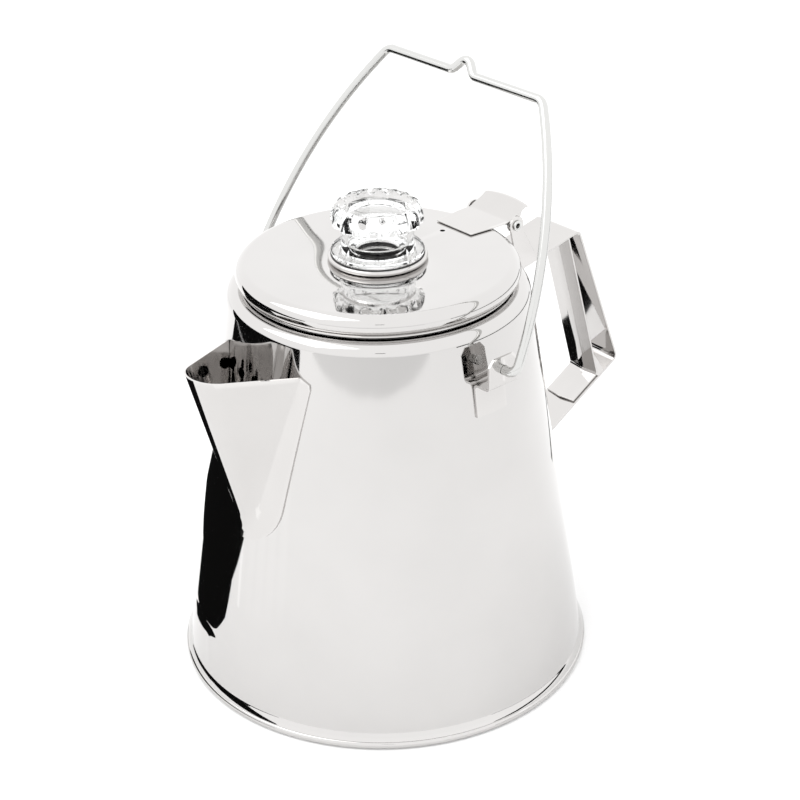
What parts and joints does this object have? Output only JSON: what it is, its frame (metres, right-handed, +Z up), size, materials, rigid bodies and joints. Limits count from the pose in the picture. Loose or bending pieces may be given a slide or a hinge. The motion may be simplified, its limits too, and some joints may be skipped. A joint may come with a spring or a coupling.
{
  "type": "camping coffee percolator",
  "caption": "Stainless camping percolator with strained spout, strap handle, swinging wire bail, hinged lid with clear twist-in knob, and pump stem with basket inside",
  "frame": {"origin": "centre of the flat base, on the pot's axis, at the height of the table", "axes": "+Z up along the pot's axis; the spout points to -Y and the handle to +Y; the bail's ears are on +X and -X"},
  "size_m": [0.19, 0.2488, 0.2727],
  "materials": {
    "pot_wall": "mirror polished stainless",
    "pot_bottom": "mirror polished stainless",
    "spout": "mirror polished stainless",
    "ear_right": "polished stainless",
    "ear_left": "polished stainless",
    "handle_strap": "polished stainless",
    "handle_liner": "polished stainless strip",
    "hinge_bracket": "polished stainless",
    "hinge_pin": "stainless tube rivet",
    "lid_top": "mirror polished stainless",
    "lid_skirt": "bright stainless",
    "hinge_leaf": "polished stainless",
    "knob_collar": "polished stainless",
    "knob_gasket": "black silicone",
    "knob_retainer": "stainless",
    "knob": "clear moulded resin",
    "bail": "bright drawn stainless wire",
    "stem_tube": "stainless tube",
    "stem_foot": "spun stainless",
    "basket_rest": "stainless",
    "basket": "drawn stainless",
    "basket_sleeve": "stainless tube",
    "spreader": "pressed stainless"
  },
  "bodies": {
    "pot": {"pot_wall": "pot_wall", "pot_bottom": "pot_bottom", "spout": "spout", "ear_right": "ear_right", "ear_left": "ear_left", "handle_strap": "handle_strap", "handle_liner": "handle_liner", "hinge_bracket": "hinge_bracket", "hinge_pin": "hinge_pin"},
    "lid": {"lid_top": "lid_top", "lid_skirt": "lid_skirt", "hinge_leaf": "hinge_leaf", "knob_collar": "knob_collar", "knob_gasket": "knob_gasket", "knob_retainer": "knob_retainer"},
    "knob": {"knob": "knob"},
    "bail": {"bail": "bail"},
    "pump": {"stem_tube": "stem_tube", "stem_foot": "stem_foot", "basket_rest": "basket_rest"},
    "basket": {"basket": "basket", "basket_sleeve": "basket_sleeve"},
    "spreader": {"spreader": "spreader"}
  },
  "joints": [
    {"name": "lid_hinge", "type": "hinge", "parent": "pot", "child": "lid", "pos_m": [0, 0.0704, 0.1927], "axis": [-1, 0, 0], "range_deg": [0, 48]},
    {"name": "bail_swing", "type": "hinge", "parent": "pot", "child": "bail", "pos_m": [0, 0, 0.1686], "axis": [-1, 0, 0], "range_deg": [-148, 56]},
    {"name": "knob_twist", "type": "hinge", "parent": "lid", "child": "knob", "pos_m": [0, 0, 0.2], "axis": [0, 0, 1], "range_deg": [0, 60]},
    {"name": "pump_lift", "type": "slide", "parent": "pot", "child": "pump", "axis": [0, 0, 1], "range_m": [0, 0.004]},
    {"name": "basket_lift", "type": "slide", "parent": "pump", "child": "basket", "axis": [0, 0, 1], "range_m": [0, 0.003]},
    {"name": "spreader_lift", "type": "slide", "parent": "basket", "child": "spreader", "axis": [0, 0, 1], "range_m": [0, 0.003]}
  ]
}
